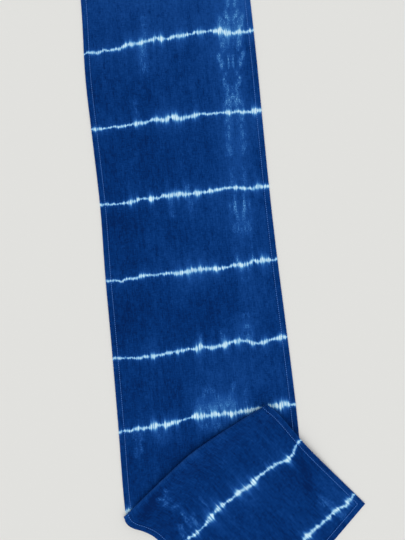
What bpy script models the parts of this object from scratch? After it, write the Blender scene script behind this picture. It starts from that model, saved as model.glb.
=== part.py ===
"""A long narrow cloth runner that lies flat, with one wedge-shaped pleat near its lower end.

The runner is one sheet of cloth. A flat grid is set out on the cut cloth, with rows that fan out
where the cloth is folded, and a laying function then puts every point in its place: the main run
lies flat, a hidden fold takes the cloth back on itself, a soft rolled fold turns it over again, and
the rest lies on top, turned by the pleat's angle, and comes down to the surface past the layers
under it. Both folds start from one point beside the left edge, as in a folded paper cone.

Flat cloth coordinates, metres: x from the left edge, y along the cloth from the level of that
point, up the main run. The main run keeps these coordinates when it is laid.
"""

import math

import bmesh
import bpy
from mathutils import Vector

# The finished cloth
WIDTH = 0.285
LENGTH = 1.524
THICKNESS = 0.0012
LOW_END_LEFT = -0.281
LOW_END_RIGHT = -0.267
FAR_END = LENGTH + (LOW_END_LEFT + LOW_END_RIGHT) / 2

# The pleat. Angles turn clockwise from the main run's direction about the point where its folds meet.
APEX_X = -0.045
PLEAT_TURN = math.radians(39.3)
HIDDEN_FOLD_ANGLE = math.radians(77.9)
HIDDEN_FOLD_RADIUS = 0.0016
ROLL_RADIUS_LEFT = 0.0016
ROLL_RADIUS = 0.0048
ROLL_STARTS = 0.050
ROLL_IS_FULL = 0.140
FOLD_BOW = 0.014
BOW_STARTS = 0.055
BOW_ENDS = 0.333

# The top layer
TOP_HEIGHT = 4 * HIDDEN_FOLD_RADIUS
SETTLE_LENGTH = 0.045
EDGE_CLEARANCE = 0.003
DESCENT_LENGTH = 0.060
CORNER_BLEND = 0.010

# The drift of the two long edges from straight, to the right, along the flat cloth
EDGE_DRIFT = (
    {"y": FAR_END, "left": 0.0000, "right": 0.0000},
    {"y": 0.870, "left": 0.0018, "right": 0.0015},
    {"y": 0.740, "left": -0.0022, "right": 0.0011},
    {"y": 0.640, "left": 0.0000, "right": -0.0006},
    {"y": 0.520, "left": 0.0026, "right": -0.0020},
    {"y": 0.410, "left": 0.0006, "right": -0.0016},
    {"y": 0.300, "left": 0.0004, "right": 0.0002},
    {"y": 0.170, "left": -0.0006, "right": 0.0018},
    {"y": 0.035, "left": -0.0020, "right": 0.0005},
    {"y": 0.005, "left": 0.0030, "right": 0.0000},
    {"y": -0.025, "left": 0.0040, "right": 0.0010},
    {"y": -0.065, "left": 0.0140, "right": 0.0040},
    {"y": -0.140, "left": 0.0100, "right": -0.0005},
    {"y": LOW_END_LEFT, "left": 0.0000, "right": 0.0000},
)

# Rows of the grid across the cloth, from the far end to the low end
COLUMNS = 20
SECTIONS = (
    {"name": "main run", "rows": 40},
    {"name": "hidden fold", "rows": 7},
    {"name": "middle layer", "rows": 7},
    {"name": "rolled fold", "rows": 8},
    {"name": "top layer", "rows": 20},
)
SOLVER_STEPS = 8

CLOTH_COLOUR = (0.004, 0.034, 0.16, 1.0)
CLOTH_ROUGHNESS = 0.9


def mix(start, end, share):
    """Blend two values."""
    return start + (end - start) * share


def ease(value, start, end):
    """Rise smoothly from 0 at start to 1 at end."""
    share = min(max((value - start) / (end - start), 0.0), 1.0)
    return share * share * (3 - 2 * share)


def soft_max(first, second, blend):
    """Return the larger value, with a rounded corner where the two meet."""
    share = max(blend - abs(first - second), 0.0) / blend
    return max(first, second) + share * share * blend / 4


def drifted_x(x, y):
    """Move a point of the straight cloth sideways with its uneven edges."""
    share = x / WIDTH
    for above, below in zip(EDGE_DRIFT, EDGE_DRIFT[1:]):
        if y >= below["y"]:
            along = 1 - ease(y, below["y"], above["y"])
            left = mix(above["left"], below["left"], along)
            right = mix(above["right"], below["right"], along)
            return x + mix(left, right, share)
    return x


def roll_radius(reach):
    """Give the rolled fold's radius at a distance from the apex."""
    return mix(ROLL_RADIUS_LEFT, ROLL_RADIUS, ease(reach, ROLL_STARTS, ROLL_IS_FULL))


def fold_stations(reach):
    """Give where the folds start and end, as arc lengths past the hidden fold's own angle."""
    bow_share = min(max((reach - BOW_STARTS) / (BOW_ENDS - BOW_STARTS), 0.0), 1.0)
    bow = FOLD_BOW * math.sin(math.pi * bow_share)
    roll = roll_radius(reach)
    quarter = math.pi / 2
    hidden_start = THICKNESS / 2 - bow - quarter * HIDDEN_FOLD_RADIUS - (quarter - 1) * roll
    rolled_start = hidden_start + PLEAT_TURN * reach / 2 + quarter * (HIDDEN_FOLD_RADIUS - roll)
    hidden_end = hidden_start + math.pi * HIDDEN_FOLD_RADIUS
    rolled_end = rolled_start + math.pi * roll
    return hidden_start, hidden_end, rolled_start, rolled_end


def top_layer_height(place, past_hidden_fold, past_roll, roll):
    """Give the top layer's height: high by the roll, level on the layers, and down past them."""
    past_edges = soft_max(past_hidden_fold, place.x - WIDTH, CORNER_BLEND)
    crest = 2 * HIDDEN_FOLD_RADIUS + 2 * roll
    height = mix(crest, TOP_HEIGHT, ease(past_roll, 0.0, SETTLE_LENGTH))
    return height * (1 - ease(past_edges, EDGE_CLEARANCE, EDGE_CLEARANCE + DESCENT_LENGTH))


def lay(x, y):
    """Lay a point of the flat cloth: return its place in space."""
    reach = math.hypot(x - APEX_X, y)
    arc = reach * (math.atan2(x - APEX_X, y) - HIDDEN_FOLD_ANGLE)
    hidden_start, hidden_end, rolled_start, rolled_end = fold_stations(reach)
    roll = roll_radius(reach)
    fold_radius = HIDDEN_FOLD_RADIUS
    back_end = hidden_start + hidden_end - rolled_start
    height = 0.0
    if arc <= hidden_start:
        laid_arc = arc
    elif arc <= hidden_end:
        angle = (arc - hidden_start) / fold_radius
        laid_arc = hidden_start + fold_radius * math.sin(angle)
        height = fold_radius * (1 - math.cos(angle))
    elif arc <= rolled_start:
        laid_arc = hidden_start + hidden_end - arc
        height = 2 * fold_radius
    elif arc <= rolled_end:
        angle = (arc - rolled_start) / roll
        laid_arc = back_end - roll * math.sin(angle)
        height = 2 * fold_radius + roll * (1 - math.cos(angle))
    else:
        laid_arc = back_end + arc - rolled_end
    bearing = HIDDEN_FOLD_ANGLE + laid_arc / reach
    place = Vector((APEX_X + reach * math.sin(bearing), reach * math.cos(bearing), height))
    if arc > rolled_end:
        past_hidden_fold = laid_arc - hidden_start - fold_radius
        place.z = top_layer_height(place, past_hidden_fold, arc - rolled_end, roll)
    return place


def station_y(x, station):
    """Find how far along the flat cloth a fold station crosses the column at x."""
    reach = x - APEX_X
    y = 0.0
    for _step in range(SOLVER_STEPS):
        bearing = HIDDEN_FOLD_ANGLE + fold_stations(reach)[station] / reach
        y = reach * math.cos(bearing)
        reach = (drifted_x(x, y) - APEX_X) / math.sin(bearing)
    return y


def section_limits(x):
    """List where the sections start and end along the column at x."""
    low_end = mix(LOW_END_LEFT, LOW_END_RIGHT, x / WIDTH)
    return [FAR_END] + [station_y(x, station) for station in range(4)] + [low_end]


def flat_rows(x):
    """List the y of every grid row along the column at x."""
    limits = section_limits(x)
    rows = [limits[0]]
    for section, start, end in zip(SECTIONS, limits, limits[1:]):
        count = section["rows"]
        rows += [mix(start, end, (step + 1) / count) for step in range(count)]
    return rows


def build_cloth_mesh():
    """Make the middle surface of the laid cloth from a flat grid."""
    row_count = sum(section["rows"] for section in SECTIONS)
    cloth = bmesh.new()
    bmesh.ops.create_grid(cloth, x_segments=COLUMNS, y_segments=row_count, size=0.5)
    columns = [flat_rows(WIDTH * column / COLUMNS) for column in range(COLUMNS + 1)]
    for vertex in cloth.verts:
        column = round((vertex.co.x + 0.5) * COLUMNS)
        row = round((0.5 - vertex.co.y) * row_count)
        y = columns[column][row]
        vertex.co = lay(drifted_x(WIDTH * column / COLUMNS, y), y)
    mesh = bpy.data.meshes.new("runner")
    cloth.to_mesh(mesh)
    cloth.free()
    mesh.shade_smooth()
    return mesh


def cloth_material():
    """Make the plain indigo cotton."""
    material = bpy.data.materials.new("indigo_cotton")
    material.use_nodes = True
    shader = material.node_tree.nodes["Principled BSDF"]
    shader.inputs["Base Color"].default_value = CLOTH_COLOUR
    shader.inputs["Roughness"].default_value = CLOTH_ROUGHNESS
    shader.inputs["Metallic"].default_value = 0.0
    return material


def centre_on_base(thing):
    """Put the middle of the underside of the thing's box at the origin."""
    bpy.context.view_layer.update()
    evaluated = thing.evaluated_get(bpy.context.evaluated_depsgraph_get())
    corners = [Vector(corner) for corner in evaluated.bound_box]
    low = Vector([min(corner[axis] for corner in corners) for axis in range(3)])
    high = Vector([max(corner[axis] for corner in corners) for axis in range(3)])
    thing.location = Vector((-(low.x + high.x) / 2, -(low.y + high.y) / 2, -low.z))


def main():
    """Build the runner in an empty scene."""
    for thing in list(bpy.data.objects):
        bpy.data.objects.remove(thing, do_unlink=True)
    collection = bpy.data.collections.new("shibori_runner")
    bpy.context.scene.collection.children.link(collection)

    runner = bpy.data.objects.new("runner", build_cloth_mesh())
    collection.objects.link(runner)
    runner.data.materials.append(cloth_material())
    solidify = runner.modifiers.new("cloth thickness", "SOLIDIFY")
    solidify.thickness = THICKNESS
    solidify.offset = 0.0
    solidify.use_even_offset = True
    centre_on_base(runner)


main()
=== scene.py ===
"""A shibori runner: one hemmed length of indigo cotton with bound-resist lines and one pleat.

The cloth is modelled as a thin sheet. A flat grid is set out on the cut cloth, dyed there through
attributes that its material reads, and then laid: the main run lies flat, a hidden fold and a soft
rolled fold turn the low end aside, and creases lift and dent the layers.

Flat cloth coordinates, metres: x from the left edge, y along the cloth from the level of the
pleat's point, up the main run.
"""

import bisect
import logging
import math
from dataclasses import dataclass, field
from enum import Enum
from typing import Union

import bmesh
import bpy
from mathutils import Matrix, Vector, noise


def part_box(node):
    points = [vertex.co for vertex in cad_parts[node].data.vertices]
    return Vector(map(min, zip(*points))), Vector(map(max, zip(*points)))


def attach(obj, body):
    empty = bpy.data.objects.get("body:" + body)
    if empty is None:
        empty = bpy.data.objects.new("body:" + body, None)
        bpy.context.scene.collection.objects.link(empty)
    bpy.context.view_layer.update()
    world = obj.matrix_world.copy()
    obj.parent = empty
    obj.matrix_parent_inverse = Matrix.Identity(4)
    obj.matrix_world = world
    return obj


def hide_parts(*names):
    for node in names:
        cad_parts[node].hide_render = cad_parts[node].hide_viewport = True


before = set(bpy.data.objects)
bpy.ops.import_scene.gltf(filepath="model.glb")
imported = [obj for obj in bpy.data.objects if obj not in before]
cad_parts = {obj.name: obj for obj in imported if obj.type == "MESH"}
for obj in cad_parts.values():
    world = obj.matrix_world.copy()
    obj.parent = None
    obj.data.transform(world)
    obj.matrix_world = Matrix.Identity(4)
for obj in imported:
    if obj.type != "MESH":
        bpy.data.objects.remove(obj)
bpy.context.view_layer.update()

LOG = logging.getLogger("shibori_runner")
MM = 0.001
CLOTH_MAP = "cloth_metres"
BAKE_MAP = "OFBake"
PLACE_SKEW = 1.7  # how much further along than across a grain's place shifts it


class Face(Enum):
    """A face of the cloth, as the sign of its side of the middle surface."""

    UPPER = 1
    UNDER = -1


def mix(start: float, end: float, share: float) -> float:
    """Blend two values."""
    return start + (end - start) * share


def ease(value: float, start: float, end: float) -> float:
    """Rise smoothly from 0 at start to 1 at end."""
    share = min(max((value - start) / (end - start), 0.0), 1.0)
    return share * share * (3 - 2 * share)


def soft_max(first: float, second: float, blend: float) -> float:
    """Return the larger value, with a rounded corner where the two meet."""
    share = max(blend - abs(first - second), 0.0) / blend
    return max(first, second) + share * share * blend / 4


def curve(places: tuple[float, ...], values: tuple[float, ...], place: float) -> float:
    """Follow a smooth curve through some values.

    Args:
        places: where the values stand, in rising order.
        values: the values.
        place: where to read the curve; past its ends it stays level.

    Returns:
        The curve's value.
    """
    if place <= places[0]:
        return values[0]
    if place >= places[-1]:
        return values[-1]
    index = bisect.bisect_right(places, place) - 1
    last = len(places) - 1
    before, after = max(index - 1, 0), min(index + 2, last)
    span = places[index + 1] - places[index]
    share = (place - places[index]) / span
    leave = (values[index + 1] - values[before]) / (places[index + 1] - places[before]) * span
    arrive = (values[after] - values[index]) / (places[after] - places[index]) * span
    rest = 1 - share
    bend = share * rest * (rest * leave - share * arrive)
    return mix(values[index], values[index + 1], share * share * (3 - 2 * share)) + bend


def bell(distance: float, reach: float) -> float:
    """Fall smoothly from 1 at no distance to nearly 0 at twice the reach."""
    return math.exp(-((distance / reach) ** 2))


def off_stretch(
    x: float, y: float, start: tuple[float, float], end: tuple[float, float]
) -> tuple[float, float]:
    """Measure a point from a straight stretch.

    Args:
        x: the point's place across.
        y: its place along.
        start: where the stretch starts.
        end: where it ends.

    Returns:
        The point's distance, and the share of the stretch at which it is nearest.
    """
    run_x, run_y = end[0] - start[0], end[1] - start[1]
    share = ((x - start[0]) * run_x + (y - start[1]) * run_y) / (run_x * run_x + run_y * run_y)
    share = min(max(share, 0.0), 1.0)
    return math.hypot(x - start[0] - share * run_x, y - start[1] - share * run_y), share


def all_of(kind: type, *rows: tuple) -> tuple:
    """Make one thing of a kind from each row of its fields."""
    return tuple(kind(*row) for row in rows)


# ---------------------------------------------------------------------------------------------
# The cloth's shape
# ---------------------------------------------------------------------------------------------


@dataclass(frozen=True)
class EdgeDrift:
    """How far a long edge strays to the right, as heights and millimetres in rising order."""

    heights: tuple[float, ...]
    drifts: tuple[float, ...]

    def at(self, y: float) -> float:
        """Give the drift at a height, in metres."""
        return curve(self.heights, self.drifts, y) * MM


@dataclass(frozen=True)
class CutCloth:
    """The finished cloth before it is laid: its size, its hem and its uneven edges."""

    width: float = 0.285
    length: float = 1.524
    low_left: float = -0.281
    low_right: float = -0.267
    hem: float = 0.0095
    body_thickness: float = 0.8 * MM
    hem_thickness: float = 1.3 * MM
    left: EdgeDrift = EdgeDrift(
        (-0.281, -0.140, -0.069, -0.059, -0.047, -0.0386, -0.031, -0.0227, -0.0166, -0.0114,
         -0.0075, 0.005, 0.035, 0.170, 0.300, 0.410, 0.520, 0.640, 0.740, 0.870, 1.250),
        (0.0, 10.0, 14.4, 13.8, 10.6, 7.0, 2.8, -0.2, -0.6, 0.6,
         2.8, 3.2, -2.0, -0.6, 0.4, 0.6, 2.6, 0.0, -2.2, 1.8, 0.0))
    right: EdgeDrift = EdgeDrift(
        (-0.267, -0.140, -0.065, -0.025, 0.005, 0.035, 0.170, 0.300, 0.410, 0.520, 0.640,
         0.740, 0.870, 1.250),
        (0.0, -0.5, 4.0, 1.0, 0.0, 0.5, 1.8, 0.2, -1.6, -2.0, -0.6, 1.1, 1.5, 0.0))

    @property
    def far_end(self) -> float:
        """The height of the far end."""
        return self.length + (self.low_left + self.low_right) / 2

    def low_end(self, x: float) -> float:
        """The height of the slightly skewed low end at x."""
        return mix(self.low_left, self.low_right, x / self.width)

    def drifted_x(self, x: float, y: float) -> float:
        """Move a point sideways with the uneven edges.

        Args:
            x: distance from the left edge.
            y: height along the cloth.

        Returns:
            The point's x, moved by the drift of the edges on its two sides.
        """
        return x + mix(self.left.at(y), self.right.at(y), x / self.width)

    def edge_distance(self, x: float, y: float) -> float:
        """Give the distance to the nearest edge of the cloth."""
        return min(x, self.width - x, self.far_end - y, y - self.low_end(x))


@dataclass(frozen=True)
class Crease:
    """A soft ridge or trough that follows some points of the flat cloth, in metres.

    A positive height is a ridge and a negative one a trough. It tapers at both ends, between two
    shares of its length, and keeps a little of its height there.
    """

    name: str
    points: tuple[tuple[float, float], ...]
    reach: float
    height: float
    taper: tuple[float, float] = (-0.05, 0.35)
    least: float = 0.15

    def lift(self, x: float, y: float) -> float:
        """Give how far the crease lifts the cloth at a point."""
        lengths = [math.dist(start, end) for start, end in zip(self.points, self.points[1:])]
        run, total, nearest = 0.0, sum(lengths), (math.inf, 0.0)
        for start, end, length in zip(self.points, self.points[1:], lengths):
            away, share = off_stretch(x, y, start, end)
            nearest = min(nearest, (away, (run + share * length) / total))
            run += length
        away, along = nearest
        fade = ease(along, *self.taper) * ease(1 - along, *self.taper)
        return self.height * bell(away, self.reach) * max(fade, self.least)


@dataclass(frozen=True)
class Ripple:
    """A slight unevenness of the laid cloth.

    Its waves are counted to the metre. Its lift and its lowest value are shares of its height.
    """

    across: float
    along: float
    seed: float
    lift: float
    lowest: float
    height: float

    def at(self, x: float, y: float) -> float:
        """Give how far it raises the cloth at a point."""
        wave = noise.noise(Vector((x * self.across, y * self.along, self.seed)))
        return self.height * max(wave + self.lift, self.lowest)


@dataclass(frozen=True)
class PleatedLay:
    """How the cloth is laid: the pleat's two folds, the top layer and the creases.

    Angles turn clockwise from the main run's direction about the pleat's point. The folds bow
    along a blend of an arc and a peak with a rounded tip. Ripples and creases run in over a short
    length past a fold.
    """

    cloth: CutCloth
    apex_x: float = -0.045
    turn: float = math.radians(39.3)
    hidden_angle: float = math.radians(77.9)
    fold_thickness: float = 1.2 * MM
    hidden_radius: float = 1.6 * MM
    roll_radius_left: float = 1.6 * MM
    roll_radius_full: float = 4.8 * MM
    roll_starts: float = 0.050
    roll_is_full: float = 0.140
    bow: float = 0.014
    bow_starts: float = 0.055
    bow_ends: float = 0.333
    bow_peaked: float = 0.6
    bow_tip: float = 0.08
    run_in: float = 0.04
    top_run_in: float = 0.02
    settle_length: float = 0.026
    edge_clearance: float = 0.003
    descent_length: float = 0.060
    corner_blend: float = 0.010
    solver_steps: int = 8
    creases: tuple[Crease, ...] = all_of(
        Crease,
        ("pleat_trough", ((0.010, -0.022), (0.060, -0.050), (0.120, -0.075)), 0.010, -0.0012),
        ("pleat_ridge", ((0.020, -0.060), (0.060, -0.080), (0.110, -0.130)), 0.012, 0.0014),
        ("kink_crease", ((0.120, -0.030), (0.150, -0.060), (0.190, -0.075)), 0.008, -0.0012),
        ("side_trough", ((0.225, -0.085), (0.225, -0.130), (0.200, -0.180)), 0.012, -0.0012),
        ("corner_ridge", ((0.260, -0.170), (0.262, -0.205), (0.255, -0.245)), 0.014, 0.0016),
    )
    ripples: tuple[Ripple, ...] = all_of(
        Ripple,
        (9.0, 6.0, 1.7, 0.25, 0.0, 0.45 * MM),
        (30.0, 16.0, 5.1, 0.60, -1.0, 0.16 * MM),
    )

    def roll_radius(self, reach: float) -> float:
        """Give the rolled fold's radius at a distance from the pleat's point."""
        share = ease(reach, self.roll_starts, self.roll_is_full)
        return mix(self.roll_radius_left, self.roll_radius_full, share)

    def stations(self, reach: float) -> tuple[float, float, float, float]:
        """Give where the folds start and end along an arc about the pleat's point.

        Args:
            reach: the arc's radius.

        Returns:
            The arc lengths, past the hidden fold's own angle, at which the hidden fold starts and
            ends and the rolled fold starts and ends.
        """
        share = (reach - self.bow_starts) / (self.bow_ends - self.bow_starts)
        share = min(max(share, 0.0), 1.0)
        peaked = 1 + self.bow_tip - math.hypot(2 * share - 1, self.bow_tip)
        bow = self.bow * mix(math.sin(math.pi * share), max(peaked, 0.0), self.bow_peaked)
        roll = self.roll_radius(reach)
        quarter = math.pi / 2
        hidden_start = self.fold_thickness / 2 - bow - quarter * self.hidden_radius
        hidden_start -= (quarter - 1) * roll
        rolled_start = hidden_start + self.turn * reach / 2 + quarter * (self.hidden_radius - roll)
        hidden_end = hidden_start + math.pi * self.hidden_radius
        return hidden_start, hidden_end, rolled_start, rolled_start + math.pi * roll

    def top_height(self, place: Vector, past_hidden: float, past_roll: float, roll: float) -> float:
        """Give the top layer's height: high by the roll, level on the layers, down past them.

        Args:
            place: the point's place in the plan.
            past_hidden: how far it is past the hidden fold.
            past_roll: how far it is past the roll, along the cloth.
            roll: the roll's radius there.

        Returns:
            The height of the cloth's middle over the main run's.
        """
        past_edges = soft_max(past_hidden, place.x - self.cloth.width, self.corner_blend)
        crest = 2 * self.hidden_radius + 2 * roll
        height = mix(crest, 4 * self.hidden_radius, ease(past_roll, 0.0, self.settle_length))
        low = self.edge_clearance
        return height * (1 - ease(past_edges, low, low + self.descent_length))

    def unevenness(self, x: float, y: float, on_top: bool) -> float:
        """Give the small lift of the visible layers over their smooth shape."""
        marks = self.creases if on_top else ()
        lift = sum(ripple.at(x, y) for ripple in self.ripples)
        return lift + sum(crease.lift(x, y) for crease in marks)

    def lay(self, x: float, y: float) -> Vector:
        """Lay a point of the flat cloth.

        Args:
            x: distance from the left edge.
            y: height along the cloth.

        Returns:
            The point's place in space, over the middle surface of the main run.
        """
        across = self.cloth.drifted_x(x, y) - self.apex_x
        reach = math.hypot(across, y)
        arc = reach * (math.atan2(across, y) - self.hidden_angle)
        hidden_start, hidden_end, rolled_start, rolled_end = self.stations(reach)
        roll = self.roll_radius(reach)
        bend = self.hidden_radius
        back_end = hidden_start + hidden_end - rolled_start
        height = 0.0
        if arc <= hidden_start:
            laid = arc
            height = self.unevenness(x, y, False) * ease(hidden_start - arc, 0.0, self.run_in)
        elif arc <= hidden_end:
            angle = (arc - hidden_start) / bend
            laid = hidden_start + bend * math.sin(angle)
            height = bend * (1 - math.cos(angle))
        elif arc <= rolled_start:
            laid = hidden_start + hidden_end - arc
            height = 2 * bend
        elif arc <= rolled_end:
            angle = (arc - rolled_start) / roll
            laid = back_end - roll * math.sin(angle)
            height = 2 * bend + roll * (1 - math.cos(angle))
        else:
            laid = back_end + arc - rolled_end
        bearing = self.hidden_angle + laid / reach
        side = self.apex_x + reach * math.sin(bearing)
        place = Vector((side, reach * math.cos(bearing), height))
        if arc > rolled_end:
            past_roll = arc - rolled_end
            place.z = self.top_height(place, laid - hidden_start - bend, past_roll, roll)
            place.z += self.unevenness(x, y, True) * ease(past_roll, 0.0, self.top_run_in)
            place.z = max(place.z, 0.0)
        return place

    def station_y(self, x: float, station: int) -> float:
        """Find how far along the flat cloth a fold station crosses the column at x."""
        reach = x - self.apex_x
        y = 0.0
        for _step in range(self.solver_steps):
            bearing = self.hidden_angle + self.stations(reach)[station] / reach
            y = reach * math.cos(bearing)
            reach = (self.cloth.drifted_x(x, y) - self.apex_x) / math.sin(bearing)
        return y

    def section_limits(self, x: float) -> list[float]:
        """List where the main run, the folds and the layers start and end along a column."""
        inner = [self.station_y(x, station) for station in range(4)]
        return [self.cloth.far_end, *inner, self.cloth.low_end(x)]


# ---------------------------------------------------------------------------------------------
# The dye, with painted light and shade
# ---------------------------------------------------------------------------------------------


@dataclass(frozen=True)
class Swell:
    """A stretch where a resist line is wider: where, half its length, its half width, in mm."""

    x: float
    reach: float
    half_width: float


@dataclass(frozen=True)
class ResistLine:
    """A line left undyed by a binding thread that was drawn up across the cloth.

    The path holds its height at even steps from the left edge to the right one, in mm over y.
    """

    name: str
    y: float
    path: tuple[float, ...]
    swells: tuple[Swell, ...]

    def height(self, x: float, width: float) -> float:
        """Give the line's height along the cloth at x."""
        steps = len(self.path) - 1
        return self.y + curve(tuple(range(steps + 1)), self.path, x / width * steps) * MM

    def half_width(self, x: float, thin: float) -> float:
        """Give half the line's mean width at x, from its thin stretches and its swells."""
        extra = [
            (swell.half_width * MM - thin) * bell(x - swell.x * MM, swell.reach * MM)
            for swell in self.swells
        ]
        return thin + max(extra, default=0.0)


@dataclass(frozen=True)
class PalePatch:
    """A soft paler patch, in millimetres: where the dye took less, and at the far end and the low
    right corner a painted sheen and a painted highlight.

    It fades as e to the minus its fall, and past the last fall it counts as nothing.
    """

    name: str
    x: float
    y: float
    half_width: float
    half_length: float
    strength: float
    last_fall: float = 6.0

    def value(self, x: float, y: float) -> float:
        """Give the patch's strength at a point."""
        side = (x - self.x) / self.half_width
        along = (y - self.y) / self.half_length
        fall = side * side + along * along
        return self.strength * math.exp(-fall) if fall < self.last_fall else 0.0


@dataclass(frozen=True)
class Stroke:
    """A soft run between two points, in millimetres, that ends some half widths away.

    It holds pale specks, or a paler or darker patch of tone, among them painted highlight, painted
    shade and a painted shadow, and a negative strength is darker.
    """

    x: float
    y: float
    end_x: float
    end_y: float
    half_width: float
    strength: float
    ends: float = 3.0

    def value(self, x: float, y: float) -> float:
        """Give the stroke's strength at a point."""
        away, _share = off_stretch(x, y, (self.x, self.y), (self.end_x, self.end_y))
        reached = away < self.ends * self.half_width
        return self.strength * bell(away, self.half_width) if reached else 0.0


@dataclass(frozen=True)
class MirrorBand:
    """A lengthwise fold that the gathers kept closed, so its specks match on its two sides.

    The path holds the fold's places as (y, x), and a stroke's x is its distance from the fold.
    """

    path: tuple[tuple[float, float], ...]
    strokes: tuple[Stroke, ...]

    def side(self, x: float, y: float) -> float:
        """Give how far to the right of the fold a point is, in millimetres."""
        for (high, high_x), (low, low_x) in zip(self.path, self.path[1:]):
            if y >= low:
                return x - mix(low_x, high_x, min((y - low) / (high - low), 1.0))
        return x - self.path[-1][1]

    def value(self, x: float, y: float) -> float:
        """Give the strength of the specks at a point."""
        away = abs(self.side(x, y))
        return max(stroke.value(away, y) for stroke in self.strokes)


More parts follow.
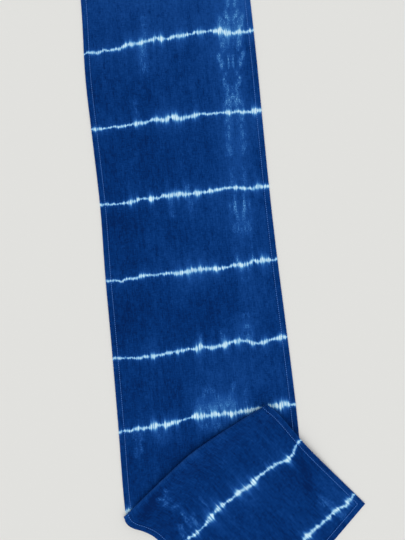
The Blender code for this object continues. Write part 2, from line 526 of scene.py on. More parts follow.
@dataclass(frozen=True)
class DyeAndPaintedLight:
    """Where the binding threads and the vat left the cloth pale, with some light and shade painted
    on its tone.

    Next to a line, within the exact zone, the phase follows the true distance from it. Past the
    outermost share of the spacing, the first and the last line's phases stay level.
    """

    cloth: CutCloth
    spacing: float = 0.127
    exact_zone: float = 0.036
    thin: float = 1.8 * MM
    outermost: float = 0.45
    lines: tuple[ResistLine, ...] = (
        ResistLine("far_third", 1.165, (0, 1, 3, 5, 6, 7, 9, 8), all_of(
            Swell, (40, 10, 3.0), (95, 16, 3.8), (170, 14, 3.6), (238, 18, 4.4))),
        ResistLine("far_second", 1.040, (0, 0, 2, 5, 5, 8, 7, 9), all_of(
            Swell, (62, 12, 3.2), (128, 12, 4.2), (200, 9, 3.4), (245, 16, 4.6))),
        ResistLine("far_first", 0.912, (0, 2, 4, 5, 8, 9, 11, 9), all_of(
            Swell, (52, 9, 3.0), (110, 20, 4.0), (186, 8, 3.2), (242, 20, 4.6))),
        ResistLine("first", 0.783, (0, 1, 6, 11, 13, 18, 14, 11), all_of(
            Swell, (20, 10, 2.2), (76, 12, 3.6), (97, 8, 3.8), (117, 6, 4.0), (129, 6, 4.4),
            (160, 10, 4.0), (196, 6, 4.0), (227, 9, 4.2), (240, 7, 5.4), (260, 8, 4.2),
            (279, 7, 2.6))),
        ResistLine("second", 0.652, (0, 0, 2, 6, 6, 8, 6, 5), all_of(
            Swell, (6, 6, 2.6), (78, 8, 3.6), (112, 6, 4.4), (126, 7, 4.2), (142, 8, 5.0),
            (157, 4, 3.6), (176, 7, 3.8), (230, 8, 3.4), (249, 8, 3.6), (275, 8, 4.4))),
        ResistLine("third", 0.525, (0, 0, 2, 4, 4, 6, 4, 3), all_of(
            Swell, (8, 5, 2.4), (54, 9, 3.4), (86, 8, 3.8), (116, 6, 4.2), (130, 6, 4.2),
            (146, 7, 4.2), (164, 8, 4.0), (187, 6, 3.0), (228, 8, 2.8), (245, 7, 3.0),
            (267, 9, 3.6))),
        ResistLine("fourth", 0.399, (1, -1, 0, 1, 3, 4, 6, 6), all_of(
            Swell, (60, 10, 2.4), (122, 8, 3.6), (138, 8, 4.2), (158, 10, 4.2), (180, 10, 4.0),
            (222, 10, 4.0), (241, 6, 3.6), (262, 11, 4.4))),
        ResistLine("fifth", 0.272, (0, -1, 1, 4, 4, 6, 4, 8), all_of(
            Swell, (67, 9, 3.2), (88, 6, 2.6), (108, 6, 3.4), (141, 9, 5.2), (162, 6, 3.0),
            (184, 8, 5.0), (207, 8, 3.4), (225, 8, 3.2), (247, 9, 3.4), (274, 7, 3.4))),
        ResistLine("sixth", 0.156, (0, 3, 5, 11, 10, 12, 14, 14), all_of(
            Swell, (34, 9, 3.2), (57, 7, 4.8), (76, 7, 5.0), (92, 5, 3.8), (131, 8, 5.6),
            (152, 9, 4.4), (172, 6, 4.8), (185, 6, 5.4), (206, 8, 4.8), (262, 12, 4.4))),
        ResistLine("seventh", 0.029, (0, 6, 7, 11, 10, 13, 15, 14), all_of(
            Swell, (7, 9, 3.8), (80, 20, 3.6), (180, 24, 4.0))),
        ResistLine("eighth", -0.102, (-4, -4, -2, -6, -3.5, -3, -3, -7, -8, -11.5, -12.5, -17,
                                      -26.5, -22.5, -17), all_of(
            Swell, (52, 6, 3.0), (88, 8, 4.2), (110, 8, 4.6), (148, 6, 4.4), (164, 6, 4.8),
            (180, 6, 4.2), (218, 7, 3.4), (246, 8, 4.4))),
        ResistLine("ninth", -0.236, (3, 2, 4, 2, 1, 3, 0, -3, -1, 1, -3, -3.5, -5.5, -9.5,
                                     -8), all_of(
            Swell, (40, 12, 3.4), (90, 12, 4.0), (150, 10, 3.8), (184, 9, 4.2), (204, 7, 2.4),
            (226, 8, 2.8), (246, 8, 3.2), (268, 9, 3.4))),
    )
    blooms_and_painted_light: tuple[PalePatch, ...] = all_of(
        PalePatch,
        # Painted sheen: the far end is paler and greyer, as a reflection of the sky at a grazing
        # angle makes it.
        ("far_painted_sheen", 150, 920, 230, 120, 0.078),
        ("right_of_first", 262, 845, 34, 50, 0.055),
        ("first_to_second", 240, 735, 30, 66, 0.055),
        ("second_to_third", 240, 600, 32, 60, 0.060),
        ("third_to_fourth", 236, 475, 34, 50, 0.050),
        ("below_first", 98, 765, 14, 22, 0.030),
        ("above_sixth", 160, 184, 36, 16, 0.100),
        ("below_sixth", 155, 148, 32, 10, 0.035),
        ("sixth_left_run", 68, 142, 20, 12, 0.025),
        ("above_fifth", 215, 305, 20, 18, 0.035),
        ("fourth_to_fifth", 246, 345, 40, 50, 0.030),
        ("fifth_to_sixth", 190, 225, 90, 34, 0.045),
        ("fifth_left_run", 64, 285, 14, 20, 0.030),
        ("around_third", 135, 512, 26, 22, 0.025),
        ("around_fourth", 150, 392, 34, 24, 0.020),
        ("below_fold_crease", 215, -52, 60, 12, 0.010),
        ("middle", 200, 610, 80, 330, 0.022),
        # Painted highlight on the ridge at the top layer's low right corner.
        ("corner_ridge_painted_highlight", 262, -205, 20, 30, 0.035),
    )
    tone_strokes_and_painted_light: tuple[Stroke, ...] = all_of(
        # Painted highlight along the lit flank of the rolled fold: two broad faint strokes here,
        # and four narrow ones from (0, -6) to (285, -42) below.
        Stroke, (0, -10, 150, -13, 9, 0.028), (150, -13, 285, -43, 9, 0.028),
        # Darker bands on the top layer: beside the rolled fold, and near the low right corner.
        (108, -15, 60, -18, 6, -0.045), (60, -18, 22, -27, 8, -0.050),
        (272, -128, 240, -180, 10, -0.030), (240, -180, 232, -205, 8, -0.022),
        # Painted shade in the slit at the rolled fold's tip, then narrow painted highlight along
        # the roll's lit flank.
        (281, -45, 275, -54, 1.6, -0.060), (0, -6, 80, -7.5, 2.6, 0.075),
        (80, -7.5, 140, -10, 2.6, 0.075), (140, -10, 200, -21, 2.6, 0.070),
        # The end of the narrow painted highlight, then a painted shadow that the raised top layer
        # casts on the main run beside the pleat's tip.
        (200, -21, 285, -42, 2.6, 0.070), (271, 150, 282, 130, 7, -0.045),
    )
    spots: tuple[Stroke, ...] = all_of(
        Stroke, (24, 150, 25, 116, 2.6, 0.55), (34, 150, 34, 120, 2.6, 0.50),
        (64, 150, 66, 136, 5, 0.40), (130, 186, 150, 214, 4, 0.45), (150, 214, 164, 190, 4, 0.45),
        (178, 186, 190, 212, 4, 0.40), (132, 178, 186, 180, 8, 0.55),
        (206, 200, 206, 182, 2.5, 0.60), (132, 152, 160, 148, 7, 0.45),
        (143, 296, 143, 282, 2.5, 0.85), (180, 300, 180, 284, 2.5, 0.85),
        (98, 790, 98, 742, 7, 0.50), (102, 836, 104, 800, 5, 0.35), (76, 690, 76, 662, 5, 0.35),
        (118, 520, 120, 496, 4, 0.45), (152, 520, 152, 492, 5, 0.35), (148, 545, 150, 534, 6, 0.50),
        (80, -22, 72, -29, 2.6, 0.85), (72, -29, 66, -38, 3.4, 0.55), (61, -25, 66, -38, 4, 0.75),
        (66, -38, 56, -40, 4, 0.65), (56, -50, 66, -58, 5, 0.45), (61, -65, 55, -90, 3, 0.95),
        (68, -82, 62, -107, 3.4, 1.00), (42, -80, 35, -94, 4, 0.95), (96, -71, 96, -92, 3, 0.45),
        (240, -212, 246, -252, 9, 0.45),
    )
    band: MirrorBand = MirrorBand(
        ((1250, 252), (852, 253), (798, 247), (748, 242), (679, 239), (611, 238), (493, 232),
         (410, 232), (321, 222), (150, 222)),
        all_of(
            Stroke, (8, 1230, 8, 1150, 4, 0.40), (5, 1120, 13, 1050, 5, 0.45),
            (12, 1020, 4, 960, 4, 0.50), (6, 960, 15, 905, 5, 0.60), (14, 890, 7, 852, 3, 0.45),
            (6, 854, 6, 838, 2.4, 0.85), (8, 828, 9, 802, 7, 0.90), (17, 822, 16, 802, 5, 0.80),
            (15, 793, 13, 766, 3.4, 1.10), (4.5, 790, 4, 770, 1.6, 0.45),
            (20, 758, 14, 736, 3.6, 1.15), (3.6, 757, 3.6, 736, 1.6, 0.95),
            (9, 728, 9.5, 722, 2.4, 0.60), (12, 716, 12, 709, 3.2, 1.10),
            (10, 706, 3, 686, 4.5, 0.85), (2, 694, 10, 664, 8, 1.00), (12, 645, 12, 588, 5, 0.60),
            (4, 648, 4, 628, 2, 0.35), (10, 560, 10, 540, 5, 0.35), (7, 516, 5, 476, 2.4, 0.75),
            (7.5, 505, 7, 491, 3.4, 1.25), (16, 505, 15, 460, 2.4, 0.65),
            (8, 468, 9, 460, 4.5, 0.90), (2, 470, 2, 440, 3, 0.35), (13, 422, 13, 408, 1.6, 0.95),
            (14, 450, 13.5, 426, 1.4, 0.35), (6, 398, 5, 380, 4, 0.35),
            (3.6, 323, 3.6, 311, 1.4, 0.65), (0, 323, 3.6, 323.5, 1.2, 0.45),
            (0.5, 312, 3, 286, 5, 0.50),
        ))

    def heights(self, x: float) -> list[float]:
        """List every resist line's height at x, from the far end down."""
        return [line.height(x, self.cloth.width) for line in self.lines]

    def nearest(self, x: float, y: float, heights: list[float]) -> tuple[float, float]:
        """Find the nearest resist line.

        Args:
            x: distance from the left edge.
            y: height along the cloth.
            heights: the lines' heights at x.

        Returns:
            The phase, a whole number on each line that changes by one from line to line, and
            half the nearest line's mean width.
        """
        for index, (above, below) in enumerate(zip(heights, heights[1:])):
            if y >= below:
                break
        else:
            index, above, below = len(heights) - 1, heights[-1], heights[-1] - self.spacing
        down = above - y
        zone = self.exact_zone
        gap = above - below
        if down <= zone:
            share = max(down / self.spacing, -self.outermost)
        elif gap - down <= zone:
            share = 1 - (gap - down) / self.spacing
        else:
            middle = (down - zone) / (gap - 2 * zone)
            share = mix(zone / self.spacing, 1 - zone / self.spacing, middle)
        if index == len(heights) - 1:
            share = min(share, self.outermost)
        line = self.lines[min(round(index + share), len(self.lines) - 1)]
        return index + share, line.half_width(x, self.thin)

    def tone_and_painted_light(self, x: float, y: float) -> float:
        """Give how much paler the ground is at a point, painted highlight, sheen, shade and shadow
        included.
        """
        marks = (*self.blooms_and_painted_light, *self.tone_strokes_and_painted_light)
        return sum(mark.value(x / MM, y / MM) for mark in marks)

    def speckle(self, x: float, y: float) -> float:
        """Give how strong the pale specks are at a point."""
        spots = max(spot.value(x / MM, y / MM) for spot in self.spots)
        return max(spots, self.band.value(x / MM, y / MM))

    def side(self, x: float, y: float) -> float:
        """Give how far to the right of the mirror fold a point is, in metres."""
        return self.band.side(x / MM, y / MM) * MM


# ---------------------------------------------------------------------------------------------
# Materials
# ---------------------------------------------------------------------------------------------

Value = Union["Signal", float, tuple[float, ...]]


@dataclass(frozen=True)
class Grain:
    """Soft noise on the flat cloth, from about 0.2 to 0.8.

    Its cells' sizes across and along are in metres. Detail counts its finer octaves, roughness is
    their strength, and the place shifts it so that no two noises agree. Where it has a rise, it
    goes smoothly from 0 at the first value to 1 at the second. The weight is how much it marks.
    """

    across: float
    along: float
    detail: float = 2.0
    place: float = 0.0
    roughness: float = 0.5
    rise: tuple[float, float] | None = None
    weight: float = 1.0


class Signal:
    """An output of a shader node that takes part in Python expressions on numbers."""

    def __init__(self, bench: "NodeBench", socket: bpy.types.NodeSocket) -> None:
        """Wrap one socket of the bench's material."""
        self.bench = bench
        self.socket = socket

    def _math(self, operation: str, *values: Value) -> "Signal":
        """Add one Math node that works on this signal's values."""
        return self.bench.node("ShaderNodeMath", {"operation": operation}, dict(enumerate(values)))

    def __add__(self, other: Value) -> "Signal":
        """Add."""
        return self._math("ADD", self, other)

    __radd__ = __add__

    def __sub__(self, other: Value) -> "Signal":
        """Subtract."""
        return self._math("SUBTRACT", self, other)

    def __rsub__(self, other: Value) -> "Signal":
        """Subtract from a number."""
        return self._math("SUBTRACT", other, self)

    def __mul__(self, other: Value) -> "Signal":
        """Multiply."""
        return self._math("MULTIPLY", self, other)

    __rmul__ = __mul__

    def __truediv__(self, other: Value) -> "Signal":
        """Divide."""
        return self._math("DIVIDE", self, other)

    def __rtruediv__(self, other: Value) -> "Signal":
        """Divide a number."""
        return self._math("DIVIDE", other, self)

    def __abs__(self) -> "Signal":
        """Drop the sign."""
        return self._math("ABSOLUTE", self)

    def rounded(self) -> "Signal":
        """Round to the nearest whole number."""
        return self._math("ROUND", self)

    def larger(self, other: Value) -> "Signal":
        """Take the larger value."""
        return self._math("MAXIMUM", self, other)

    def decay(self, length: float) -> "Signal":
        """Fall from 1 as e to the minus value over length."""
        return self._math("EXPONENT", self * (-1 / length))

    def rise(self, start: Value, end: Value) -> "Signal":
        """Rise smoothly from 0 at start to 1 at end."""
        settings = {"interpolation_type": "SMOOTHSTEP"}
        values = {"Value": self, "From Min": start, "From Max": end}
        return self.bench.node("ShaderNodeMapRange", settings, values)


class NodeBench:
    """Builds the node tree of one material."""

    def __init__(self, name: str) -> None:
        """Start a material with a Principled shader."""
        self.material = bpy.data.materials.new(name)
        self.material.use_nodes = True
        self.tree = self.material.node_tree
        self.shader = self.tree.nodes["Principled BSDF"]

    def plug(self, socket: bpy.types.NodeSocket, value: Value) -> None:
        """Link a signal to a socket, or set the socket's own value."""
        if isinstance(value, Signal):
            self.tree.links.new(value.socket, socket)
        else:
            socket.default_value = value

    def node(
        self,
        kind: str,
        settings: dict | None = None,
        values: dict | None = None,
        output: int | str = 0,
    ) -> Signal:
        """Add a node.

        Args:
            kind: the node's type.
            settings: its own settings, set first; "stops" are a ramp's places and colours.
            values: values or signals for its inputs, by name or number.
            output: the output to return.

        Returns:
            The output as a signal.
        """
        made = self.tree.nodes.new(kind)
        for name, value in (settings or {}).items():
            if name == "stops":
                self._set_stops(made.color_ramp, value)
            else:
                setattr(made, name, value)
        for name, value in (values or {}).items():
            self.plug(made.inputs[name], value)
        return Signal(self, made.outputs[output])

    def _set_stops(
        self, ramp: bpy.types.ColorRamp, stops: tuple[tuple[float, tuple[float, ...]], ...]
    ) -> None:
        """Give a ramp its stops."""
        while len(ramp.elements) < len(stops):
            ramp.elements.new(0.5)
        for element, (place, colour) in zip(ramp.elements, stops):
            element.position = place
            element.color = colour

    def attribute(self, name: str) -> Signal:
        """Read a number that the mesh carries."""
        return self.node("ShaderNodeAttribute", {"attribute_name": name}, output="Fac")

    def grain(self, grain: Grain) -> Signal:
        """Make a noise from the flat cloth's map."""
        chart = self.node("ShaderNodeUVMap", {"uv_map": CLOTH_MAP})
        scaled = self.node("ShaderNodeMapping", None, {
            "Vector": chart, "Location": (grain.place, grain.place * PLACE_SKEW, 0.0),
            "Scale": (1 / grain.across, 1 / grain.along, 1.0)})
        return self._noise(grain, scaled)

    def grain_at(self, grain: Grain, across: Signal, along: Signal) -> Signal:
        """Make a noise at a place given as two numbers, in metres."""
        chart = self.node("ShaderNodeCombineXYZ", None, {
            "X": across / grain.across + grain.place, "Y": along / grain.along})
        return self._noise(grain, chart)

    def veins(self, grain: Grain, width: float) -> Signal:
        """Make thin lines where a noise crosses its middle, as wide as a share of its range."""
        return 1 - abs(self.grain(grain) - 0.5).rise(0.0, width)

    def _noise(self, grain: Grain, chart: Signal) -> Signal:
        """Read a noise on a chart, and let it rise where it has a rise."""
        made = self.node("ShaderNodeTexNoise", {"noise_dimensions": "2D"}, {
            "Vector": chart, "Scale": 1.0, "Detail": grain.detail, "Roughness": grain.roughness})
        return made.rise(*grain.rise) if grain.rise else made

    def dress(self, values: dict[str, Value]) -> bpy.types.Material:
        """Plug the shader's own sockets and return the material."""
        for name, value in values.items():
            self.plug(self.shader.inputs[name], value)
        return self.material


@dataclass(frozen=True)
class IndigoFinish:
    """Plain-woven cotton, dyed with indigo over bound resist lines.

    The tones run from the deepest blue to undyed cotton, and paleness picks the place on them.
    The shares of the specks, a line's half width, its core, its feathers, its halo and its peak
    start with a plain share, and go on with what the grains named beside them add.
    """

    spacing: float
    thin: float
    tones: tuple[tuple[float, tuple[float, ...]], ...] = (
        (0.00, (0.0004, 0.0150, 0.092, 1.0)),
        (0.06, (0.0010, 0.0305, 0.162, 1.0)),
        (0.175, (0.0085, 0.0690, 0.292, 1.0)),
        (0.40, (0.0440, 0.1880, 0.500, 1.0)),
        (0.63, (0.1450, 0.3850, 0.675, 1.0)),
        (0.85, (0.4000, 0.6600, 0.860, 1.0)),
        (1.00, (0.6600, 0.8700, 0.970, 1.0)),
    )
    # The ground
    base: float = 0.052
    warp: Grain = Grain(0.0016, 0.0080, 2.0, 3.0, 0.6, weight=0.115)
    weft: Grain = Grain(0.0090, 0.0015, 2.0, 9.0, 0.6, weight=0.100)
    mottle: tuple[Grain, ...] = (
        Grain(0.070, 0.110, 2.0, 31.0, weight=0.070),
        Grain(0.012, 0.018, 3.0, 37.0, weight=0.060),
        Grain(0.0045, 0.060, 2.0, 41.0, weight=0.065),
    )
    pucker: Grain = Grain(0.0035, 0.030, 2.0, 21.0)
    crinkle: Grain = Grain(0.017, 0.026, 4.0, 91.0, 0.62, weight=0.026)
    crinkle_width: float = 0.030
    vein: Grain = Grain(0.011, 0.055, 3.0, 53.0, 0.55, weight=0.045)
    vein_width: float = 0.016
    vein_zone: Grain = Grain(0.050, 0.070, 1.0, 57.0, rise=(0.42, 0.62))
    hem_fold: tuple[float, float] = (0.0002, 0.0018)
    hem_fold_paleness: float = 0.045
    hem_inside: float = 0.0098
    hem_shade: tuple[float, float] = (0.0002, 0.0014)
    hem_shade_depth: float = 0.020
    # The pale specks
    dots: Grain = Grain(0.0017, 0.0028, 1.0, rise=(0.50, 0.62))
    dashes: Grain = Grain(0.0016, 0.0110, 1.0, 9.0, rise=(0.50, 0.64))
    shapes: Grain = Grain(0.006, 0.014, 2.0, 5.0, rise=(0.36, 0.58))
    speck_shares: tuple[float, ...] = (0.040, 0.060, 0.06, 0.21, 0.14)
    # The resist lines
    wiggles: tuple[Grain, ...] = (
        Grain(0.008, 0.050, 2.0, 71.0, 0.6, weight=0.0058),
        Grain(0.028, 0.100, 1.0, 75.0, weight=0.0090),
    )
    swell_width: float = 0.003
    beads: Grain = Grain(0.0055, 0.080, 1.0, 73.0, rise=(0.34, 0.64))
    ticks: Grain = Grain(0.0015, 0.030, 1.0, 77.0, rise=(0.32, 0.68))
    gaps: Grain = Grain(0.0020, 0.060, 1.0, 83.0, rise=(0.58, 0.70), weight=0.62)
    feathering: Grain = Grain(0.0022, 0.022, 2.0, 79.0, rise=(0.38, 0.70))
    half_shares: tuple[float, ...] = (0.42, 0.62, 0.44)
    core_shares: tuple[float, ...] = (0.75, 0.27)
    feather_length: float = 0.0064
    feather_shares: tuple[float, ...] = (0.25, 0.75)
    feather_strength: tuple[float, ...] = (0.07, 0.34)
    halo_length: float = 0.0150
    halo_strength: tuple[float, ...] = (0.010, 0.055)
    peak_shares: tuple[float, ...] = (0.79, 0.12, 0.10, 0.09, 0.30)
    # The surface
    relief_shares: tuple[float, ...] = (0.35, 1.2, 0.35)
    relief_depth: float = 0.0006
    relief_strength: float = 0.35
    roughness: float = 0.88
    roughness_change: float = 0.15
    specular: float = 0.03
    sheen: float = 0.01
    sheen_roughness: float = 0.5

    def build(self) -> bpy.types.Material:
        """Make the material."""
        bench = NodeBench("indigo_cotton")
        warp = bench.grain(self.warp) - 0.5
        weft = bench.grain(self.weft) - 0.5
        crinkle = bench.veins(self.crinkle, self.crinkle_width)
        paleness = self._lines(bench, self._ground(bench, warp, weft, crinkle), warp)
        ramp = bench.node("ShaderNodeValToRGB", {"stops": self.tones}, {"Fac": paleness}, "Color")
        weave, pucker, crease = self.relief_shares
        relief = (warp + weft) * weave + bench.grain(self.pucker) * pucker - crinkle * crease
        normal = bench.node("ShaderNodeBump", None, {
            "Strength": self.relief_strength, "Distance": self.relief_depth, "Height": relief},
            "Normal")
        return bench.dress({
            "Base Color": ramp, "Roughness": self.roughness + self.roughness_change * warp,
            "Normal": normal, "Specular IOR Level": self.specular, "Sheen Weight": self.sheen,
            "Sheen Roughness": self.sheen_roughness})

    def _ground(self, bench: NodeBench, warp: Signal, weft: Signal, crinkle: Signal) -> Signal:
        """Give the dyed ground's paleness.

        Args:
            bench: where the nodes are built.
            warp: the lengthwise threads' unevenness.
            weft: the crosswise threads' unevenness.
            crinkle: the fine creases that run every way, where the dye lies darker.

        Returns:
            The paleness: mottled, streaked, creased and specked, with the hem's marks and the
                painted light and shade that the mesh carries.
        """
        ground = self.base + warp * self.warp.weight + weft * self.weft.weight
        for grain in self.mottle:
            ground = ground + (bench.grain(grain) - 0.5) * grain.weight
        gathers = bench.veins(self.vein, self.vein_width) * bench.grain(self.vein_zone)
        # The mesh's paleness attribute holds the dye's blooms with painted highlight, painted
        # sheen, painted shade and a painted shadow.
        ground = ground + bench.attribute("tone_and_painted_light") - gathers * self.vein.weight
        ground = ground - crinkle * self.crinkle.weight
        return (ground + self._specks(bench) + self._hem(bench)).larger(0.0)

    def _hem(self, bench: NodeBench) -> Signal:
        """Give the hem's paler outer fold and the shade at its inner edge."""
        edge = bench.attribute("edge")
        outer = 1 - edge.rise(*self.hem_fold)
        inner = 1 - abs(edge - self.hem_inside).rise(*self.hem_shade)
        return outer * self.hem_fold_paleness - inner * self.hem_shade_depth

    def _specks(self, bench: NodeBench) -> Signal:
        """Give the pale specks, the same on the two sides of the mirror fold."""
        mirrored = abs(bench.attribute("mirror_side"))
        along = bench.node("ShaderNodeSeparateXYZ", None, {
            "Vector": bench.node("ShaderNodeUVMap", {"uv_map": CLOTH_MAP})}, "Y")
        grains = (self.dots, self.dashes, self.shapes)
        dots, dashes, shapes = (bench.grain_at(grain, mirrored, along) for grain in grains)
        plain, by_shapes, by_dots, dots_inside, dashes_inside = self.speck_shares
        inside = dots * dots_inside + dashes * dashes_inside
        specks = plain + shapes * by_shapes + dots * by_dots + inside * shapes
        return bench.attribute("speckle") * specks

    def _lines(self, bench: NodeBench, ground: Signal, warp: Signal) -> Signal:
        """Lay the resist lines over the ground.

        Args:
            bench: where the nodes are built.
            ground: the ground's paleness.
            warp: the lengthwise threads' unevenness.

        Returns:
            The paleness with each line's core of beads and ticks, its feathers and its halo.
        """
        phase, width = bench.attribute("resist_phase"), bench.attribute("resist_width")
        off_line = (phase - phase.rounded()) * self.spacing
        for grain in self.wiggles:
            off_line = off_line + (bench.grain(grain) - 0.5) * grain.weight
        away = abs(off_line)
        swelling = ((width - self.thin) / self.swell_width).rise(0.0, 1.0)
        beads, ticks, gaps, feathering = (
            bench.grain(grain) for grain in (self.beads, self.ticks, self.gaps, self.feathering)
        )
        plain, by_beads, by_ticks = self.half_shares
        share = away / (width * (plain + beads * by_beads + ticks * by_ticks))
        square = share * share
        plain, by_ticks = self.core_shares
        core = 1 / (1 + square * square) * (1 - gaps * self.gaps.weight)
        core = core * (plain + ticks * by_ticks)
        plain, by_feathers = self.feather_shares
        thin, swollen = self.feather_strength
        feathers = away.decay(self.feather_length) * (plain + feathering * by_feathers)
        feathers = feathers * (thin + swelling * swollen)
        thin, swollen = self.halo_strength
        soft = ground + feathers + away.decay(self.halo_length) * (thin + swelling * swollen)
        plain, by_swelling, by_ticks, by_beads, by_warp = self.peak_shares
        peak = plain + swelling * by_swelling + ticks * by_ticks + beads * by_beads + warp * by_warp
        return soft + (peak - soft) * core


@dataclass(frozen=True)
class ThreadFinish:
    """Cotton sewing thread, paler than the cloth, with darker and paler turns of its twist."""

    colour: tuple[float, float, float] = (0.075, 0.225, 0.64)
    darker: float = 0.7
    paler: float = 1.4
    turns: float = 900.0
    detail: float = 2.0
    roughness: float = 0.6
    specular: float = 0.1
    relief_depth: float = 0.0001
    relief_strength: float = 0.3

    def build(self) -> bpy.types.Material:
        """Make the material."""
        bench = NodeBench("sewing_thread")
        chart = bench.node("ShaderNodeTexCoord", output="Object")
        twist = bench.node("ShaderNodeTexNoise", None, {
            "Vector": chart, "Scale": self.turns, "Detail": self.detail})
        dark, pale = (
            (*(share * part for part in self.colour), 1.0) for share in (self.darker, self.paler)
        )
        colour = bench.node("ShaderNodeMix", {"data_type": "RGBA"}, {
            "Factor": twist, 6: dark, 7: pale}, 2)
        normal = bench.node("ShaderNodeBump", None, {
            "Strength": self.relief_strength, "Distance": self.relief_depth, "Height": twist},
            "Normal")
        return bench.dress({"Base Color": colour, "Roughness": self.roughness,
                            "Specular IOR Level": self.specular, "Normal": normal})


@dataclass(frozen=True)
class FloorFinish:
    """A plain pale matt floor."""

    colour: tuple[float, float, float, float] = (0.76, 0.755, 0.73, 1.0)
    roughness: float = 0.9
    specular: float = 0.2

    def build(self) -> bpy.types.Material:
        """Make the material."""
        bench = NodeBench("pale_floor")
        return bench.dress({"Base Color": self.colour, "Roughness": self.roughness,
                            "Specular IOR Level": self.specular})


# ---------------------------------------------------------------------------------------------
# Pieces
# ---------------------------------------------------------------------------------------------


def add_piece(
    name: str, shape: bmesh.types.BMesh, material: bpy.types.Material
) -> bpy.types.Object:
    """Turn a bmesh into an object at the origin, shaded smooth, and free the bmesh.

    Args:
        name: the object's name.
        shape: the bmesh, which can't be used afterwards.
        material: its one material.

    Returns:
        The object, linked to the scene.
    """
    mesh = bpy.data.meshes.new(name)
    shape.to_mesh(mesh)
    shape.free()
    mesh.shade_smooth()
    mesh.materials.append(material)
    piece = bpy.data.objects.new(name, mesh)
    bpy.context.scene.collection.objects.link(piece)
    return piece


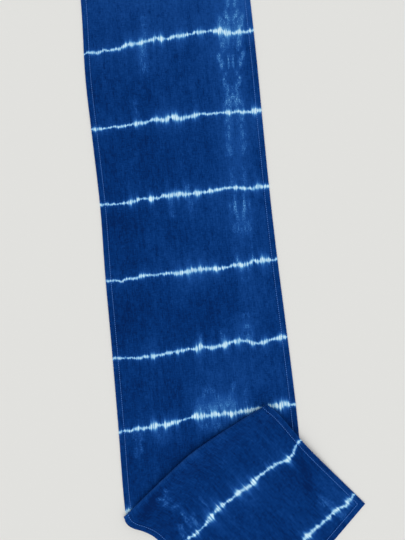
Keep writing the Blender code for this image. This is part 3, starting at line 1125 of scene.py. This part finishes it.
@dataclass
class RunnerCloth:
    """The cloth itself, as a thin sheet with its hem's extra thickness."""

    cloth: CutCloth
    lay: PleatedLay
    dye: DyeAndPaintedLight
    column_step: float = 0.0041
    fine_step: float = 0.0024
    fine_from: float = 0.207
    section_rows: tuple[int, ...] = (300, 10, 20, 14, 66)
    hem_columns: tuple[float, ...] = (0.0, 0.4, 2.0, 4.2, 6.4, 8.6, 9.3, 10.2, 11.6, 13.6)
    hem_slope: float = 0.0008
    map_margin: float = 0.004
    map_room: float = 0.03
    strip_gap: float = 0.02
    strip_drop: float = 0.01
    shift: Vector = field(default_factory=Vector)

    def columns(self) -> list[float]:
        """List the x of every grid column, closer together at the hems and in the mirror band."""
        found = [step * MM for step in self.hem_columns]
        far_hem = [self.cloth.width - step for step in reversed(found)]
        start = found[-1]
        for stop, step in ((self.fine_from, self.column_step), (far_hem[0], self.fine_step)):
            count = round((stop - start) / step)
            found += [mix(start, stop, (index + 1) / count) for index in range(count)]
            start = stop
        return found + far_hem[1:]

    def rows(self, x: float) -> list[float]:
        """List the y of every grid row along the column at x, closer together at the end hems."""
        limits = self.lay.section_limits(x)
        ends = [step * MM for step in self.hem_columns]
        found = [limits[0] - step for step in ends]
        start = found[-1]
        stops = limits[1:-1] + [limits[-1] + ends[-1]]
        for count, stop in zip(self.section_rows, stops):
            found += [mix(start, stop, (step + 1) / count) for step in range(count)]
            start = stop
        return found + [limits[-1] + step for step in reversed(ends[:-1])]

    def place(self, x: float, y: float) -> Vector:
        """Give the place in the frame of a point of the cloth's middle surface."""
        half = self.thickness(x, y) / 2
        return self.lay.lay(x, y) + self.shift + Vector((0.0, 0.0, half))

    def thickness(self, x: float, y: float) -> float:
        """Give the cloth's thickness: more over the turned hem."""
        hem = self.cloth.hem
        inside = ease(self.cloth.edge_distance(x, y), hem, hem + self.hem_slope)
        return mix(self.cloth.hem_thickness, self.cloth.body_thickness, inside)

    def build(self) -> bpy.types.Object:
        """Build the sheet, with its maps, its attributes and its thickness."""
        columns = self.columns()
        rows = [self.rows(x) for x in columns]
        row_count = len(rows[0]) - 1
        column_count = len(columns) - 1
        shape = bmesh.new()
        bmesh.ops.create_grid(shape, x_segments=column_count, y_segments=row_count, size=0.5)
        flat: list[tuple[float, float]] = []
        shape.verts.ensure_lookup_table()
        for vertex in shape.verts:
            column = round((vertex.co.x + 0.5) * column_count)
            row = round((0.5 - vertex.co.y) * row_count)
            flat.append((columns[column], rows[column][row]))
            vertex.co = self.lay.lay(*flat[-1])
        self.shift = self._shift_to_frame([vertex.co for vertex in shape.verts])
        for vertex, (x, y) in zip(shape.verts, flat):
            vertex.co += self.shift + Vector((0.0, 0.0, self.thickness(x, y) / 2))
        finish = IndigoFinish(self.dye.spacing, self.dye.thin)
        piece = add_piece("runner_cloth", shape, finish.build())
        self._chart(piece.data, flat)
        self._dye_and_painted_light(piece.data, flat)
        self._thicken(piece, flat)
        return piece

    def _shift_to_frame(self, places: list[Vector]) -> Vector:
        """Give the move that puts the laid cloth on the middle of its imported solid."""
        low, high = (Vector(corner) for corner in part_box("runner"))
        middle_x = (min(place.x for place in places) + max(place.x for place in places)) / 2
        middle_y = (min(place.y for place in places) + max(place.y for place in places)) / 2
        middle = (low + high) / 2
        return Vector((middle.x - middle_x, middle.y - middle_y, low.z))

    def _chart(self, mesh: bpy.types.Mesh, flat: list[tuple[float, float]]) -> None:
        """Add the map in flat metres and the bake's map, which holds the cloth in two strips."""
        mesh.uv_layers.new(name=CLOTH_MAP)
        mesh.uv_layers.new(name=BAKE_MAP)
        metres, bake = mesh.uv_layers[CLOTH_MAP], mesh.uv_layers[BAKE_MAP]
        half_length = self.cloth.length / 2
        split = self.cloth.far_end - half_length
        scale = 1 / (half_length + self.map_room)
        far_strip = (0.0, split)
        low_strip = (self.cloth.width + self.strip_gap, split - half_length - self.strip_drop)
        for face in mesh.polygons:
            places = [flat[mesh.loops[loop].vertex_index] for loop in face.loop_indices]
            middle = sum(y for _x, y in places) / face.loop_total
            side, base = low_strip if middle < split else far_strip
            for loop, (x, y) in zip(face.loop_indices, places):
                metres.data[loop].uv = (x, y)
                across, along = x + side + self.map_margin, y - base + self.map_margin
                bake.data[loop].uv = (across * scale, along * scale)
        mesh.uv_layers.active = metres

    def _dye_and_painted_light(self, mesh: bpy.types.Mesh, flat: list[tuple[float, float]]) -> None:
        """Store what the cloth's material reads at every point: the dye, and the painted light and
        shade.
        """
        heights = {x: self.dye.heights(x) for x in self.columns()}
        nearest = [self.dye.nearest(x, y, heights[x]) for x, y in flat]
        values = {
            "resist_phase": [phase for phase, _width in nearest],
            "resist_width": [width for _phase, width in nearest],
            "tone_and_painted_light": [self.dye.tone_and_painted_light(x, y) for x, y in flat],
            "speckle": [self.dye.speckle(x, y) for x, y in flat],
            "mirror_side": [self.dye.side(x, y) for x, y in flat],
            "edge": [self.cloth.edge_distance(x, y) for x, y in flat],
        }
        for name, numbers in values.items():
            layer = mesh.attributes.new(name, "FLOAT", "POINT")
            layer.data.foreach_set("value", numbers)

    def _thicken(self, piece: bpy.types.Object, flat: list[tuple[float, float]]) -> None:
        """Give the sheet its thickness, with the hem thicker than the body."""
        hem = piece.vertex_groups.new(name="hem")
        for index, (x, y) in enumerate(flat):
            hem.add([index], self.thickness(x, y) / self.cloth.hem_thickness, "REPLACE")
        solid = piece.modifiers.new("cloth thickness", "SOLIDIFY")
        solid.thickness = self.cloth.hem_thickness
        solid.offset = 0.0
        solid.vertex_group = "hem"
        solid.use_even_offset = True


@dataclass
class HemStitches:
    """The row of small stitches that holds the hem, seen on both faces of the cloth."""

    runner: RunnerCloth
    inset: float = 0.0088
    pitch: float = 3.3 * MM
    half_length: float = 1.30 * MM
    half_width: float = 0.45 * MM
    half_height: float = 0.25 * MM
    proud: float = 0.08 * MM
    feel: float = 0.0008

    def route(self) -> list[tuple[float, float]]:
        """List the corners of the stitch row on the flat cloth."""
        cloth = self.runner.cloth
        left, right = self.inset, cloth.width - self.inset
        top = cloth.far_end - self.inset
        return [(left, top), (left, cloth.low_end(left) + self.inset),
                (right, cloth.low_end(right) + self.inset), (right, top), (left, top)]

    def build(self) -> bpy.types.Object:
        """Build every stitch as a slim bead half sunk in the cloth."""
        ball = bmesh.new()
        bmesh.ops.create_uvsphere(ball, u_segments=6, v_segments=4, radius=1.0)
        stitch = bpy.data.meshes.new("stitch")
        shape = bmesh.new()
        for turn in self.turns():
            ball.to_mesh(stitch)
            stitch.transform(turn)
            shape.from_mesh(stitch, face_normals=False, vertex_normals=False)
        ball.free()
        bpy.data.meshes.remove(stitch)
        shape.normal_update()
        return add_piece("hem_stitches", shape, ThreadFinish().build())

    def turns(self) -> list[Matrix]:
        """List the matrix that puts a unit ball on each stitch."""
        found = []
        corners = self.route()
        for start, end in zip(corners, corners[1:]):
            length = math.dist(start, end)
            ahead = Vector((end[0] - start[0], end[1] - start[1])) / length
            count = round(length / self.pitch)
            for step in range(count):
                share = (step + 0.5) / count
                x, y = mix(start[0], end[0], share), mix(start[1], end[1], share)
                found += [self._turn(x, y, ahead, face) for face in Face]
        return found

    def _turn(self, x: float, y: float, ahead: Vector, face: Face) -> Matrix:
        """Give the matrix that turns a unit ball into one stitch.

        Args:
            x: the stitch's place across the flat cloth.
            y: its place along the flat cloth.
            ahead: the row's direction on the flat cloth.
            face: the face of the cloth that it lies on.

        Returns:
            The stitch's size, direction and place.
        """
        step = ahead * self.feel
        place = self.runner.place(x, y)
        forward = self.runner.place(x + step.x, y + step.y) - place
        sideways = self.runner.place(x - step.y, y + step.x) - place
        normal = forward.cross(sideways).normalized() * face.value
        forward.normalize()
        sideways = normal.cross(forward)
        turn = Matrix((forward, sideways, normal)).transposed().to_4x4()
        surface = place + normal * (self.runner.thickness(x, y) / 2 + self.proud)
        size = Matrix.Diagonal((self.half_length, self.half_width, self.half_height, 1.0))
        return Matrix.Translation(surface) @ turn @ size


@dataclass
class Studio:
    """The floor, the soft light and the camera."""

    floor_size: float = 8.0
    floor_drop: float = 0.4 * MM
    eye: tuple[float, float, float] = (0.1464, 0.3632, 0.7361)
    target: tuple[float, float, float] = (0.1593, 0.4011, 0.0)
    roll: float = math.radians(5.88)
    lens: float = 30.0
    nearest_seen: float = 0.01
    light_from: tuple[float, float, float] = (0.0, -0.45, 1.0)
    light_spread: float = math.radians(90)
    light_energy: float = 1.45
    light_colour: tuple[float, float, float] = (1.0, 0.985, 0.95)
    surround_colour: tuple[float, float, float, float] = (0.95, 0.97, 1.0, 1.0)
    surround_strength: float = 0.60

    def add_floor(self, lowest: float) -> None:
        """Add the floor a little under the lowest point of the part."""
        shape = bmesh.new()
        place = Matrix.Translation((0.0, 0.0, lowest - self.floor_drop))
        half = self.floor_size / 2
        bmesh.ops.create_grid(shape, x_segments=1, y_segments=1, size=half, matrix=place)
        add_piece("floor", shape, FloorFinish().build())

    def add_light(self) -> None:
        """Add an even pale surround and one broad light, high and from the near side."""
        world = bpy.data.worlds.new("soft_surround")
        world.use_nodes = True
        background = world.node_tree.nodes["Background"]
        background.inputs["Color"].default_value = self.surround_colour
        background.inputs["Strength"].default_value = self.surround_strength
        bpy.context.scene.world = world
        lamp = bpy.data.lights.new("broad_light", "SUN")
        lamp.angle = self.light_spread
        lamp.energy = self.light_energy
        lamp.color = self.light_colour
        light = bpy.data.objects.new("broad_light", lamp)
        light.rotation_euler = (-Vector(self.light_from)).to_track_quat("-Z", "Y").to_euler()
        bpy.context.scene.collection.objects.link(light)

    def add_camera(self, shift: Vector) -> None:
        """Add the camera nearly straight above the low part of the cloth, turned a little."""
        eye = Vector(self.eye) + shift
        back = (Vector(self.eye) - Vector(self.target)).normalized()
        up = Vector((math.sin(self.roll), math.cos(self.roll), 0.0))
        right = up.cross(back).normalized()
        turn = Matrix((right, back.cross(right), back)).transposed()
        data = bpy.data.cameras.new("camera")
        data.lens = self.lens
        data.clip_start = self.nearest_seen
        camera = bpy.data.objects.new("camera", data)
        camera.matrix_world = Matrix.Translation(eye) @ turn.to_4x4()
        bpy.context.scene.collection.objects.link(camera)
        bpy.context.scene.camera = camera


def main() -> None:
    """Build the runner's pieces and the studio round them."""
    logging.basicConfig(level=logging.INFO, format="%(message)s")
    cloth = CutCloth()
    lay = PleatedLay(cloth)
    dye = DyeAndPaintedLight(cloth)
    runner = RunnerCloth(cloth, lay, dye)
    sheet = runner.build()
    for kind, marks in (("creases", lay.creases), ("lines", dye.lines), ("blooms_and_painted_light", dye.blooms_and_painted_light)):
        LOG.info("%s: %s", kind, ", ".join(mark.name for mark in marks))
    stitches = HemStitches(runner).build()
    for piece in (sheet, stitches):
        LOG.info("%s: %d faces", piece.name, len(piece.data.polygons))

    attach(sheet, "root")
    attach(stitches, "root")
    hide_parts("runner")

    studio = Studio()
    studio.add_floor(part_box("runner")[0][2])
    studio.add_light()
    studio.add_camera(runner.shift)
    bpy.context.scene.view_settings.view_transform = "Standard"


if __name__ == "__main__":
    main()
